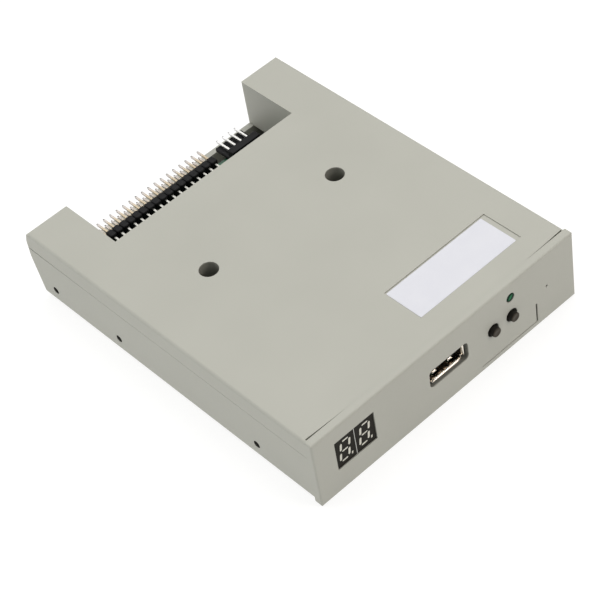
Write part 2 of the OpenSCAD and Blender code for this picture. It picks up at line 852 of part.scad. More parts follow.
module main_board() {
    color(board_green)
        in_frame()
            along_z(board_z, board_top)
                difference() {
                    union() {
                        translate([-board_x, board_front])
                            square([2 * board_x, wide_end - board_front]);
                        translate([board_bay_left, board_front])
                            square([board_bay_right - board_bay_left, board_rear - board_front]);
                    }
                    translate([-board_x - cut, board_front - cut])
                        square([display_notch_x + board_x + cut, link_y + 0.6 - board_front + cut]);
                    board_holes();
                }
}

// Memory stick socket

// A spring finger in the shell's lower wall, bowed inwards near its free end
module socket_spring(x) {
    spring_w = 1.6;
    tip = socket_recess + 1.6;
    root = socket_recess + 7.2;
    bow = 0.55;
    along_x(x - spring_w / 2, x + spring_w / 2)
        polygon([[root, socket_z], [root, socket_z + sheet_t], [tip + 1, socket_z + sheet_t + bow],
            [tip, socket_z + sheet_t + bow / 2], [tip, socket_z + bow / 2], [tip + 1, socket_z + bow]]);
}

module socket_shell() {
    outer = [socket_w / 2 + sheet_t, socket_h / 2 + sheet_t];
    inner = [socket_w / 2, socket_h / 2];
    lip = 0.4;
    lip_t = 0.35;
    springs_x = [socket_x - 3.05, socket_x + 3.05];
    slot_w = 2.2;
    color(tin_plate)
        in_frame() {
            difference() {
                union() {
                    along_y(socket_recess, socket_rear)
                        translate([socket_x, socket_mid_z])
                            square(2 * outer, center = true);
                    along_y(socket_recess, socket_recess + lip_t)
                        translate([socket_x, socket_mid_z])
                            soft_rect(-outer - [lip, lip], outer + [lip, lip], [lip, lip, lip, lip]);
                    for (side = [-1, 1])
                        translate([socket_x + side * (socket_w + sheet_t) / 2, socket_legs_y, tail_z])
                            translate([-sheet_t / 2, 0, 0])
                                cube([sheet_t, socket_leg_w, socket_mid_z - tail_z]);
                }
                along_y(socket_recess - cut, socket_rear + cut)
                    translate([socket_x, socket_mid_z])
                        square(2 * inner, center = true);
                for (x = springs_x)
                    block([x - slot_w / 2, socket_recess + 1.2, socket_z - cut],
                        [x + slot_w / 2, socket_recess + 7, socket_z + socket_h + 2 * sheet_t + cut]);
            }
            for (x = springs_x) {
                socket_spring(x);
                translate([0, 0, 2 * socket_mid_z])
                    mirror([0, 0, 1])
                        socket_spring(x);
            }
        }
}

module socket_tongue() {
    tongue_w = 11.1;
    tongue_h = 1.84;
    block_x = socket_w / 2 - slip;
    foot_x = socket_w / 2 - 1;
    color(black_plastic)
        in_frame() {
            block([socket_x - tongue_w / 2, tongue_front, socket_mid_z],
                [socket_x + tongue_w / 2, socket_block + 0.5, socket_mid_z + tongue_h]);
            block([socket_x - block_x, socket_block, socket_z + sheet_t + slip],
                [socket_x + block_x, socket_rear + 0.5, socket_z + sheet_t + socket_h - slip]);
            block([socket_x - foot_x, socket_rear, board_top],
                [socket_x + foot_x, socket_rear + 1.8, socket_mid_z]);
            block([socket_x - foot_x, board_front + 0.3, board_top],
                [socket_x + foot_x, socket_rear + 1.8, socket_z]);
        }
}

module socket_contacts() {
    contact_w = 1;
    contact_t = 0.2;
    color(gold_plate)
        in_frame()
            for (x = socket_contacts_x) {
                block([x - contact_w / 2, tongue_front + 0.5, socket_mid_z - contact_t],
                    [x + contact_w / 2, socket_block, socket_mid_z]);
                block([x - lead_w / 2, socket_tails_y - lead_w / 2, tail_z],
                    [x + lead_w / 2, socket_tails_y + lead_w / 2, board_top]);
            }
}

// Display

digits_x = [for (side = [-1, 1]) display_x + side * display_w / 4];

// Two columns of five pins behind each digit
function display_pin_places() = [for (x = digits_x, side = [-1, 1], i = [0:4])
    [x + side * display_pin_column / 2, display_z + (i - 2) * display_pin_pitch]];

// Two housings side by side; at the joint each has a rib that is flush with the dark faces
module display_housings() {
    low = display_z - display_h / 2;
    high = display_z + display_h / 2;
    color("#c9cac6")
        in_frame()
            for (side = [0, 1])
                translate([display_x, 0, 0])
                    mirror([side, 0, 0]) {
                        block([slip / 2, display_recess + face_t, low],
                            [display_w / 2, display_rear, high]);
                        block([slip / 2, display_recess, low],
                            [(display_joint - slip) / 2, display_rear, high]);
                    }
}

// One lit bar with pointed ends, lying along X about the origin
module segment_bar(l, w) {
    h = w / 2;
    polygon([[-l / 2, 0], [-l / 2 + h, -h], [l / 2 - h, -h], [l / 2, 0], [l / 2 - h, h], [-l / 2 + h, h]]);
}

// Seven bars and a point, leaning to the right, about the digit's middle
module digit_bars() {
    lean = [[1, tan(digit_lean), 0, 0], [0, 1, 0, 0], [0, 0, 1, 0], [0, 0, 0, 1]];
    multmatrix(lean) {
        for (row = [-1, 0, 1])
            translate([0, row * digit_h / 2])
                segment_bar(digit_w - segment_gap, segment_level_w);
        for (side = [-1, 1], row = [-1, 1])
            translate([side * digit_w / 2, row * digit_h / 4])
                rotate(90)
                    segment_bar(digit_h / 2 - segment_gap, segment_w);
        translate([digit_w / 2 + 1.15, -digit_h / 2 + 0.25])
            square([0.5, 0.95], center = true);
    }
}

module display_bars() {
    for (x = digits_x)
        translate([x - 0.15, display_z])
            digit_bars();
}

module display_faces() {
    color("#26251f")
        in_frame()
            along_y(display_recess, display_recess + face_t)
                difference() {
                    for (x = digits_x)
                        translate([x, display_z])
                            square([display_w / 2 - display_joint, display_h], center = true);
                    display_bars();
                }
}

module display_segments() {
    color("#d8d7cc")
        in_frame()
            along_y(display_recess, display_recess + face_t)
                display_bars();
}

module display_pins() {
    color(tin_plate)
        in_frame()
            for (p = display_pin_places())
                rod_y(p.x, p.y, lead_w, display_rear, link_y);
}

module display_board() {
    color(board_green)
        in_frame()
            along_y(display_board_y, display_board_y + display_board_t)
                difference() {
                    translate([display_x, display_z])
                        square([display_board_w, display_board_h], center = true);
                    for (p = display_pin_places())
                        translate(p)
                            circle(d = lead_w + 0.2);
                    for (x = link_pins_x)
                        translate([x, link_z])
                            circle(d = pin_hole_d);
                }
}

module link_header() {
    color(black_plastic)
        in_frame()
            difference() {
                block([link_pins_x[0] - link_pitch / 2, link_y, board_top],
                    [link_pins_x[4] + link_pitch / 2, link_y + link_pitch, board_top + link_pitch]);
                for (x = link_pins_x)
                    pin_slot(x, link_z, link_y, link_y + link_pitch);
            }
}

module pin_slot(x, z, y0, y1) {
    h = pin_w / 2 + slip;
    block([x - h, y0 - cut, z - h], [x + h, y1 + cut, z + h]);
}

// A square pin that runs level from leg_y to tip_y at height z and turns down through the board
module angle_pin(x, z, leg_y, tip_y) {
    h = pin_w / 2;
    block([x - h, leg_y - h, z - h], [x + h, tip_y, z + h]);
    block([x - h, leg_y - h, tail_z], [x + h, leg_y + h, z + h]);
}

module link_pins() {
    color(gold_plate)
        in_frame()
            for (x = link_pins_x)
                mirrored_angle_pin(x, link_z, link_leg_y, display_board_y - 0.4);
}

// The same pin with its level run towards the front
module mirrored_angle_pin(x, z, leg_y, tip_y) {
    h = pin_w / 2;
    block([x - h, tip_y, z - h], [x + h, leg_y + h, z + h]);
    block([x - h, leg_y - h, tail_z], [x + h, leg_y + h, z + h]);
}

// Status lamp

module lamp_lens() {
    color("#2f8f5b")
        in_frame()
            turned_y(lamp_x, lamp_recess, lamp_z) {
                soft_rect([0, 0], [lamp_d / 2, lamp_rim_y - lamp_recess + 0.5], [0, lamp_r, 0, 0]);
                translate([0, lamp_rim_y - lamp_recess])
                    square([lamp_d / 2 + 0.4, lamp_rim_t]);
            }
}

module lamp_leads() {
    h = lead_w / 2;
    color(tin_plate)
        in_frame()
            for (x = lamp_leads_x) {
                block([x - h, lamp_rim_y + lamp_rim_t, lamp_z - h], [x + h, lamp_lead_y + h, lamp_z + h]);
                block([x - h, lamp_lead_y - h, tail_z], [x + h, lamp_lead_y + h, lamp_z + h]);
            }
}

// Key switches and their buttons

module button(x) {
    color(black_plastic)
        in_frame()
            turned_y(x, -button_out, button_z) {
                soft_rect([0, 0], [button_d / 2, flange_y + button_out + 0.2], [0, button_r, 0, 0]);
                translate([0, flange_y + button_out])
                    square([flange_d / 2, flange_t]);
                translate([0, flange_y + button_out])
                    square([1, flange_t + nub_t]);
            }
}

module switch_body(x) {
    cavity_d = flange_d + 0.3;
    color(black_plastic)
        in_frame()
            difference() {
                block([x - switch_w / 2, switch_y + plate_t, board_top],
                    [x + switch_w / 2, switch_rear, board_top + switch_w]);
                rod_y(x, button_z, cavity_d, switch_y, dome_y + dome_rise);
            }
}

module switch_plate(x) {
    color(tin_plate)
        in_frame()
            difference() {
                block([x - switch_w / 2, switch_y, board_top],
                    [x + switch_w / 2, switch_y + plate_t, board_top + switch_w]);
                rod_y(x, button_z, button_d + 2 * run_gap, 0, switch_rear);
            }
}

// A shallow snap dome that stands on the switch's floor with its crown towards the button
module switch_dome(x) {
    rim = flange_d / 2 - 0.1;
    skin = 0.1;
    ball = (rim * rim + dome_rise * dome_rise) / (2 * dome_rise);
    color(tin_plate)
        in_frame()
            turned_y(x, dome_y, button_z)
                intersection() {
                    translate([0, ball])
                        difference() {
                            circle(ball);
                            circle(ball - skin);
                        }
                    square([rim, dome_rise]);
                }
}

module left_button() {
    button(buttons_x[0]);
}

module right_button() {
    button(buttons_x[1]);
}

module left_switch_body() {
    switch_body(buttons_x[0]);
}

module right_switch_body() {
    switch_body(buttons_x[1]);
}

module left_switch_plate() {
    switch_plate(buttons_x[0]);
}

module right_switch_plate() {
    switch_plate(buttons_x[1]);
}

module left_switch_dome() {
    switch_dome(buttons_x[0]);
}

module right_switch_dome() {
    switch_dome(buttons_x[1]);
}

module switch_legs() {
    leg_w = 0.7;
    leg_t = 0.3;
    color(tin_plate)
        in_frame()
            for (x = buttons_x, side = [-1, 1], y = legs_y)
                translate([x + side * (switch_w / 2 - 0.6) - leg_w / 2, y - leg_t / 2, tail_z])
                    cube([leg_w, leg_t, board_top - tail_z]);
}

// Data header

// Top view of a strip of header positions with a small notch between neighbours
module header_strip(x0, y0, y1, pitch, count) {
    c = 0.5;
    front = [for (i = [0:count - 1]) each [[x0 + (i - 0.5) * pitch, y0 + c],
        [x0 + (i - 0.5) * pitch + c, y0], [x0 + (i + 0.5) * pitch - c, y0]]];
    rear = [for (i = [count - 1:-1:0]) each [[x0 + (i + 0.5) * pitch, y1 - c],
        [x0 + (i + 0.5) * pitch - c, y1], [x0 + (i - 0.5) * pitch + c, y1]]];
    ends = [[x0 + (count - 0.5) * pitch, y0 + c], [x0 - pitch / 2, y1 - c]];
    polygon(concat(front, [ends[0]], rear, [ends[1]]));
}

module data_header() {
    color(black_plastic)
        in_frame()
            difference() {
                along_z(board_top, board_top + 2 * data_pitch)
                    header_strip(data_x, data_y - data_deep, data_y, data_pitch, data_columns);
                for (i = [0:data_columns - 1], z = data_row_z)
                    pin_slot(data_x + i * data_pitch, z, data_y - data_deep, data_y);
            }
}

module data_pins() {
    color(gold_plate)
        in_frame()
            for (i = [0:data_columns - 1], row = [0, 1])
                angle_pin(data_x + i * data_pitch, data_row_z[row], data_leg_y[row], data_y + data_pin_out);
}

// Power header

module power_header() {
    tongue_x = power_w / 2 - 0.2;
    color(black_plastic)
        in_frame()
            difference() {
                union() {
                    block([power_x - power_w / 2, power_y - power_deep, board_top],
                        [power_x + power_w / 2, power_y, board_top + power_h]);
                    block([power_x - tongue_x, power_y - 0.5, tongue_z],
                        [power_x + tongue_x, power_y + power_tongue, tongue_z + tongue_t]);
                }
                for (x = power_pins_x)
                    pin_slot(x, board_top + power_pin_h, power_y - power_deep, power_y);
            }
}

module power_pins() {
    color(tin_plate)
        in_frame()
            for (x = power_pins_x)
                angle_pin(x, board_top + power_pin_h, power_leg_y, power_tip_y);
}

// Jumper and service headers: upright pins in short insulator strips

function jumper_pin_places() = [for (i = [0:5], row = [0, 1]) jumper_at + [i, row] * data_pitch];
function service_pin_places() = [for (i = [0:3]) service_at + [i * data_pitch, 0]];

module upright_header(at, count, rows, places) {
    h = pin_w / 2 + slip;
    difference() {
        along_z(board_top, board_top + data_pitch)
            header_strip(at.x, at.y - data_pitch / 2, at.y + (rows - 0.5) * data_pitch, data_pitch, count);
        for (p = places)
            block([p.x - h, p.y - h, board_top - cut], [p.x + h, p.y + h, board_top + data_pitch + cut]);
    }
}

module upright_pins(places) {
    h = pin_w / 2;
    pin_top = board_top + upright_pin_h;
    for (p = places)
        block([p.x - h, p.y - h, tail_z], [p.x + h, p.y + h, pin_top]);
}

module jumper_header() {
    color(black_plastic)
        in_frame()
            upright_header(jumper_at, 6, 2, jumper_pin_places());
}

module jumper_pins() {
    color(gold_plate)
        in_frame()
            upright_pins(jumper_pin_places());
}

// Shunt that bridges the first pair of jumper pins
module jumper_cap() {
    cap_x = data_pitch / 2 - 0.07;
    cap_y = data_pitch - 0.09;
    h = pin_w / 2 + slip;
    low = board_top + data_pitch;
    color("#1d1d22")
        in_frame()
            difference() {
                block([jumper_at.x - cap_x, jumper_at.y + data_pitch / 2 - cap_y, low],
                    [jumper_at.x + cap_x, jumper_at.y + data_pitch / 2 + cap_y, low + shunt_h]);
                for (row = [0, 1])
                    block([jumper_at.x - h, jumper_at.y + row * data_pitch - h, low - cut],
                        [jumper_at.x + h, jumper_at.y + row * data_pitch + h, low + shunt_h - 0.3]);
            }
}

module service_header() {
    color(black_plastic)
        in_frame()
            upright_header(service_at, 4, 1, service_pin_places());
}

module service_pins() {
    color(gold_plate)
        in_frame()
            upright_pins(service_pin_places());
}

// Chips

module chip_body(at, size) {
    block([at.x - size.x / 2, at.y - size.y / 2, board_top + chip_lift],
        [at.x + size.x / 2, at.y + size.y / 2, board_top + chip_lift + size.z]);
}

// A gull-wing lead that leaves a chip's side along +Y at the origin and steps down to the board
module gull_lead(w, reach, rise) {
    t = 0.15;
    knee = 0.35 * reach;
    foot = 0.55 * reach;
    along_x(-w / 2, w / 2)
        polygon([[0, rise], [knee, rise], [foot, t], [reach, t], [reach, 0],
            [foot - t, 0], [knee - t, rise - t], [0, rise - t]]);
}

// A row of leads on one side of a chip, turned about the chip's middle
module lead_row(at, turn, half, count, pitch, w, reach, rise) {
    translate([at.x, at.y, board_top])
        rotate(turn)
            for (i = [0:count - 1])
                translate([(i - (count - 1) / 2) * pitch, half, 0])
                    gull_lead(w, reach, rise);
}

module processor() {
    color(black_plastic)
        in_frame()
            chip_body(processor_at, processor_size);
}

module processor_leads() {
    color(tin_plate)
        in_frame()
            for (turn = [0, 90, 180, 270])
                lead_row(processor_at, turn, processor_w / 2, 16, processor_pitch, 0.22, 1, 0.8);
}

// Leads of a small logic chip, seven along each long side
module logic_leads(at) {
    for (turn = [0, 180])
        lead_row(at, turn, logic_w / 2, 7, logic_pitch, 0.41, 1.05, 0.9);
}

module buffer_chips() {
    color(black_plastic)
        in_frame()
            for (at = buffers_at)
                chip_body(at, logic_size);
}

module buffer_leads() {
    color(tin_plate)
        in_frame()
            for (at = buffers_at)
                logic_leads(at);
}

module display_driver() {
    color(black_plastic)
        in_frame()
            chip_body(driver_at, logic_size);
}

module driver_leads() {
    color(tin_plate)
        in_frame()
            logic_leads(driver_at);
}

module regulator() {
    color(black_plastic)
        in_frame()
            chip_body(regulator_at, regulator_size);
}

module regulator_leads() {
    color(tin_plate)
        in_frame() {
            lead_row(regulator_at, 180, regulator_l / 2, 3, regulator_pitch, 0.7, 1.75, 0.9);
            lead_row(regulator_at, 0, regulator_l / 2, 1, 0, 3, 1.75, 0.9);
        }
}

// Crystal: a drawn can with round ends, standing on the board over its two leads
module crystal_can() {
    rim = 0.25;
    rim_h = 0.4;
    color(tin_plate)
        in_frame()
            translate([crystal_at.x, crystal_at.y, 0]) {
                along_z(board_top, board_top + crystal_h)
                    round_end_bar(crystal_w, crystal_l);
                along_z(board_top, board_top + rim_h)
                    round_end_bar(crystal_w + 2 * rim, crystal_l + 2 * rim);
            }
}

module round_end_bar(w, l) {
    square([w, l - w], center = true);
    for (side = [-1, 1])
        translate([0, side * (l - w) / 2])
            circle(d = w);
}

module crystal_leads() {
    color(tin_plate)
        in_frame()
            for (y = crystal_leads_y)
                rod_z(crystal_at.x, y, lead_w, tail_z, board_top);
}

// Electrolytic capacitors: an aluminium can on a square plastic base

module capacitor_bases() {
    half = capacitor_d / 2 + 0.15;
    color(black_plastic)
        in_frame()
            for (at = capacitors_at)
                block([at.x - half, at.y - half, board_top],
                    [at.x + half, at.y + half, board_top + capacitor_base_h]);
}

module capacitor_cans() {
    color("#c4c6c8")
        in_frame()
            for (at = capacitors_at)
                translate([at.x, at.y, board_top + capacitor_base_h])
                    rotate_extrude()
                        soft_rect([0, 0], [capacitor_d / 2, capacitor_h], [0, 0, 0.5, 0]);
}

// Chip resistors and capacitors: small ceramic blocks laid on the board

module chip_blocks(places, size) {
    for (at = places)
        block([at.x - size.x / 2, at.y - size.y / 2, board_top],
            [at.x + size.x / 2, at.y + size.y / 2, board_top + size.z]);
}

module chip_resistors() {
    color("#2a2a2c")
        in_frame()
            chip_blocks(resistors_at, [chip_w, chip_l, resistor_t]);
}

module chip_capacitors() {
    color("#b7986a")
        in_frame()
            chip_blocks(chip_caps_at, [chip_w, chip_l, chip_cap_t]);
}

base_shell();
top_cover();
cover_screws();
label();
main_board();
board_screws();
socket_shell();
socket_tongue();
socket_contacts();
display_housings();
display_faces();
display_segments();
display_pins();
display_board();
link_header();
link_pins();
lamp_lens();
lamp_leads();
left_button();
right_button();
left_switch_body();
right_switch_body();
left_switch_plate();
right_switch_plate();
left_switch_dome();
right_switch_dome();
switch_legs();
data_header();
data_pins();
power_header();
power_pins();
jumper_header();
jumper_pins();
jumper_cap();
service_header();
service_pins();
processor();
processor_leads();
display_driver();
driver_leads();
buffer_chips();
buffer_leads();
regulator();
regulator_leads();
crystal_can();
crystal_leads();
capacitor_cans();
capacitor_bases();
chip_resistors();
chip_capacitors();
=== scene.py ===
import math

import bmesh
import bpy
from mathutils import Matrix, Vector


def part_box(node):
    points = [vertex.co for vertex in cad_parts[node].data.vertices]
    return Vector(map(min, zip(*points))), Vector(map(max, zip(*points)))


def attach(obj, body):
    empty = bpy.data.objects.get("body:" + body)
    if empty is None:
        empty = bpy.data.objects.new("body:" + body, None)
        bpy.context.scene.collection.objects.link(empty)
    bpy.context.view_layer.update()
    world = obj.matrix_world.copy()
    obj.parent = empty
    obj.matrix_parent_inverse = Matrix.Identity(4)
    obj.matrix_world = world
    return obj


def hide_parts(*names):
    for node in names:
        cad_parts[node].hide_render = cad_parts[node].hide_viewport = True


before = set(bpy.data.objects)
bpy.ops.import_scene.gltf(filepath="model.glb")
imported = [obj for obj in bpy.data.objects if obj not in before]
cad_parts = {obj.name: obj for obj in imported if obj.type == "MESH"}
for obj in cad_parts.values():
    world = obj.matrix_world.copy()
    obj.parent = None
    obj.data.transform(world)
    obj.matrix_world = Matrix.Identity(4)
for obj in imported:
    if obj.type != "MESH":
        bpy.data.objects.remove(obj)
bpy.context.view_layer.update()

# Camera: a long lens from the front left and well above, tilted a little, as the photograph
# was taken. The case's near corner is the display's end of the front panel.
MM = 0.001
camera_place = Vector((-239.15, -337.79, 431.34))
heading, elevation, roll = -35.12, 46.37, -11.03
lens_data = bpy.data.cameras.new("camera")
lens_data.sensor_width = 36
lens_data.lens = 121.2
lens_data.clip_start = 0.01
camera = bpy.data.objects.new("camera", lens_data)
camera_turn = (Matrix.Rotation(math.radians(heading), 4, "Z")
               @ Matrix.Rotation(math.radians(90 - elevation), 4, "X")
               @ Matrix.Rotation(math.radians(roll), 4, "Z"))
camera.matrix_world = Matrix.Translation(camera_place * MM) @ camera_turn
bpy.context.scene.collection.objects.link(camera)
bpy.context.scene.camera = camera
bpy.context.scene.view_settings.view_transform = "Standard"


# Studio: a table of opal acrylic, lit a little from below so that it throws light on the case's
# upright sides, in a dim even room. One broad soft light hangs high above, with fills at the left
# rear and the front left, and a small, slightly warm light at the front right that picks out edges.
def linear(code):
    """An sRGB hex colour as linear red, green, blue and alpha."""
    parts = [int(code[i:i + 2], 16) / 255 for i in (1, 3, 5)]
    return [p / 12.92 if p <= 0.04045 else ((p + 0.055) / 1.055) ** 2.4 for p in parts] + [1.0]


def add(material, kind, inputs, feeds=(), **settings):
    """Adds one node: its own settings, what goes into it, and the sockets that its outputs feed."""
    made = material.node_tree.nodes.new(kind)
    for name, value in settings.items():
        setattr(made, name, value)
    for key, value in inputs.items():
        if isinstance(value, bpy.types.NodeSocket):
            material.node_tree.links.new(value, made.inputs[key])
        else:
            made.inputs[key].default_value = value
    for key, socket in feeds:
        material.node_tree.links.new(made.outputs[key], socket)
    return made


def start_material(name, code, numbers):
    """A new material and its Principled shader, with its colour and its plain numbers set."""
    material = bpy.data.materials.new(name)
    material.use_nodes = True
    shader = material.node_tree.nodes["Principled BSDF"]
    shader.inputs["Base Color"].default_value = linear(code)
    for socket, number in numbers.items():
        shader.inputs[socket].default_value = number
    return material, shader


def add_object(name, form, material, wall=0.0):
    """Turns a bmesh drawn in millimetres into an object, smooth but for its sharp edges and flats."""
    sharp_angle = math.radians(35)
    bmesh.ops.scale(form, vec=(MM, MM, MM), verts=form.verts)
    mesh = bpy.data.meshes.new(name)
    form.to_mesh(mesh)
    form.free()
    mesh.shade_smooth()
    mesh.set_sharp_from_angle(angle=sharp_angle)
    mesh.materials.append(material)
    made = bpy.data.objects.new(name, mesh)
    bpy.context.scene.collection.objects.link(made)
    if wall:
        thickness = made.modifiers.new("sheet", "SOLIDIFY")
        thickness.thickness = wall * MM
        thickness.offset = 0.0
    made.modifiers.new("flat_faces", "WEIGHTED_NORMAL").keep_sharp = True
    return made


table_reach = 12000
opal, _ = start_material("opal_table", "#898987", {"Roughness": 0.9, "Emission Strength": 0.8})
form = bmesh.new()
bmesh.ops.create_grid(form, x_segments=1, y_segments=1, size=table_reach)
add_object("floor", form, opal)

room = bpy.data.worlds.new("studio_room")
room.use_nodes = True
room_light = room.node_tree.nodes["Background"].inputs
room_light["Color"].default_value = linear("#ffffff")
room_light["Strength"].default_value = 0.14
bpy.context.scene.world = room


def add_soft_light(name, place, size, power, tint="#ffffff"):
    """A square area light that faces the case. Its place and size are in metres."""
    light = bpy.data.lights.new(name, "AREA")
    light.size = size
    light.energy = power
    light.color = linear(tint)[:3]
    made = bpy.data.objects.new(name, light)
    turn = (-Vector(place)).to_track_quat("-Z", "Y").to_matrix().to_4x4()
    made.matrix_world = Matrix.Translation(place) @ turn
    bpy.context.scene.collection.objects.link(made)


add_soft_light("overhead_light", (0.3, 0.3, 1.25), size=1.6, power=18.8)
add_soft_light("left_rear_light", (-0.9, 0.9, 0.6), size=0.8, power=5.7)
add_soft_light("front_left_light", (-0.9, -0.9, 0.65), size=0.6, power=2.2)
add_soft_light("edge_light", (0.45, -0.75, 0.6), size=0.35, power=2.7, tint="#fff5ee")


# Case: two injection-moulded shells in putty-grey ABS, the front panel in one piece with the lower
# one. A spark-eroded grain makes them matt, drawn at 0.5 mm because the real 0.1 mm wouldn't show.
# The resin's flow shifts the tone a little. Shade is painted darker into the side holes, screw wells and
# panel openings.
def dress(material, *names):
    """Gives CAD nodes a finished material."""
    for name in names:
        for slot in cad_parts[name].material_slots:
            slot.material = material


def per_mm(size):
    """Texture scale at which one feature is about this many millimetres."""
    return 1 / (size * MM)


# Sockets of a Mix node that mixes colours: the share of the second, both colours, and the result.
SHARE, COLOUR_A, COLOUR_B, MIXED = 0, 6, 7, 2


def moulded(name, dark, light, gloss, patch, grain, depth, shine=0.5):
    """A moulded resin: tone that drifts in patches, and a grain that dulls the surface."""
    material, shader = start_material(name, dark, {"IOR": 1.5, "Specular IOR Level": shine})
    place = add(material, "ShaderNodeTexCoord", {}).outputs["Object"]
    drift = add(material, "ShaderNodeTexNoise", {"Vector": place, "Scale": per_mm(patch), "Detail": 2.0})
    add(material, "ShaderNodeMix",
        {SHARE: drift.outputs["Fac"], COLOUR_A: linear(dark), COLOUR_B: linear(light)},
        [(MIXED, shader.inputs["Base Color"])], data_type="RGBA")
    pits = add(material, "ShaderNodeTexNoise",
               {"Vector": place, "Scale": per_mm(grain), "Detail": 3.0, "Roughness": 0.6}).outputs["Fac"]
    add(material, "ShaderNodeMapRange",
        {"Value": pits, "From Min": 0.3, "From Max": 0.7, "To Min": gloss[0], "To Max": gloss[1]},
        [("Result", shader.inputs["Roughness"])])
    add(material, "ShaderNodeBump", {"Height": pits, "Strength": 0.25, "Distance": depth * MM},
        [("Normal", shader.inputs["Normal"])])
    return material


abs_grey = moulded("moulded_abs_grey", "#a9a99f", "#b1b1a7", (0.5, 0.62),
                   patch=28, grain=0.5, depth=0.02)
# Painted shade: inside these boxes the plastic is painted darker, in the side holes, the screw wells and
# the walls of the panel's openings.
hole_painted_shade, well_painted_shade, opening_painted_shade = "#4c4c47", "#8a8a81", "#76766f"
painted_shade_boxes = [((0, y, 6), (50.5, 1.3, 1.3), hole_painted_shade) for y in (-36.4, 23.6, 53.6)]
painted_shade_boxes += [((x, 8, 14.3), (3.1, 3.1, 10.3), well_painted_shade) for x in (-25, 25)]
painted_shade_boxes += [((0, -59.9, 12.7), (49, 1.6, 11.5), opening_painted_shade)]
shader = abs_grey.node_tree.nodes["Principled BSDF"]
tone = shader.inputs["Base Color"].links[0].from_socket
place = add(abs_grey, "ShaderNodeTexCoord", {}).outputs["Object"]
for middle, reach, code in painted_shade_boxes:
    offset = add(abs_grey, "ShaderNodeMapping",
                 {"Vector": place, "Location": Vector(middle) * MM, "Scale": Vector(reach) * MM},
                 vector_type="TEXTURE").outputs["Vector"]
    spread = add(abs_grey, "ShaderNodeVectorMath", {0: offset}, operation="ABSOLUTE").outputs["Vector"]
    along = add(abs_grey, "ShaderNodeSeparateXYZ", {"Vector": spread}).outputs
    level = add(abs_grey, "ShaderNodeMath", {0: along["X"], 1: along["Y"]}, operation="MAXIMUM")
    widest = add(abs_grey, "ShaderNodeMath", {0: level.outputs["Value"], 1: along["Z"]},
                 operation="MAXIMUM")
    within = add(abs_grey, "ShaderNodeMath", {0: widest.outputs["Value"], 1: 1.0}, operation="LESS_THAN")
    tone = add(abs_grey, "ShaderNodeMix",
               {SHARE: within.outputs["Value"], COLOUR_A: tone, COLOUR_B: linear(code)},
               data_type="RGBA").outputs[MIXED]
abs_grey.node_tree.links.new(tone, shader.inputs["Base Color"])
dress(abs_grey, "base_shell", "top_cover")


# Screws: pan-head self-tapping steel, cold headed and zinc plated, two deep in the cover's wells
# and four in the board's corners. The plating is a little cloudy.
def plated(name, dark, light, gloss, patch, grain):
    """A plated metal: cloudy in patches, with a fine matt bloom that varies the gloss."""
    bloom_depth = 0.005
    material, shader = start_material(name, dark, {"Metallic": 1.0})
    place = add(material, "ShaderNodeTexCoord", {}).outputs["Object"]
    cloud = add(material, "ShaderNodeTexNoise", {"Vector": place, "Scale": per_mm(patch), "Detail": 3.0})
    add(material, "ShaderNodeMix",
        {SHARE: cloud.outputs["Fac"], COLOUR_A: linear(dark), COLOUR_B: linear(light)},
        [(MIXED, shader.inputs["Base Color"])], data_type="RGBA")
    bloom = add(material, "ShaderNodeTexNoise",
                {"Vector": place, "Scale": per_mm(grain), "Detail": 2.0}).outputs["Fac"]
    add(material, "ShaderNodeMapRange",
        {"Value": bloom, "From Min": 0.3, "From Max": 0.7, "To Min": gloss[0], "To Max": gloss[1]},
        [("Result", shader.inputs["Roughness"])])
    add(material, "ShaderNodeBump", {"Height": bloom, "Strength": 0.1, "Distance": bloom_depth * MM},
        [("Normal", shader.inputs["Normal"])])
    return material


zinc_steel = plated("zinc_plated_steel", "#6f7072", "#8e8f90", (0.3, 0.45), patch=2, grain=0.2)
dress(zinc_steel, "cover_screws", "board_screws")


# Label: a rectangle of white polyester film with a paper-like coating, stuck in the cover's recess.
# It is unprinted. The coating is a little bluish and has a faint fibre pattern, drawn at 0.4 mm.
def points(parts):
    """The vertices among the parts that an operator made."""
    return [part for part in parts if isinstance(part, bmesh.types.BMVert)]


corner_r, top_edge_r = 0.35, 0.04
label_low, label_high = [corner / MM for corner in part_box("label")]
label_size, label_middle = label_high - label_low, (label_low + label_high) / 2
form = bmesh.new()
bmesh.ops.create_grid(form, x_segments=1, y_segments=1, size=0.5)
bmesh.ops.scale(form, vec=label_size, verts=form.verts)
bmesh.ops.bevel(form, geom=form.verts[:], offset=corner_r, segments=4, profile=0.5,
                affect="VERTICES", material=-1)
raised = points(bmesh.ops.extrude_face_region(form, geom=form.faces[:])["geom"])
bmesh.ops.translate(form, vec=(0, 0, label_size.z), verts=raised)
top_edges = [edge for edge in form.edges if all(vert in raised for vert in edge.verts)]
bmesh.ops.bevel(form, geom=top_edges, offset=top_edge_r, segments=2, profile=0.5,
                affect="EDGES", material=-1)
bmesh.ops.translate(form, vec=(label_middle.x, label_middle.y, label_low.z), verts=form.verts)
bmesh.ops.recalc_face_normals(form, faces=form.faces)
film = moulded("coated_label_film", "#d1d2d9", "#d8d9de", (0.45, 0.6), patch=6, grain=0.4, depth=0.01)
label = add_object("label_sheet", form, film)
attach(label, "housing")
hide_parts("label")

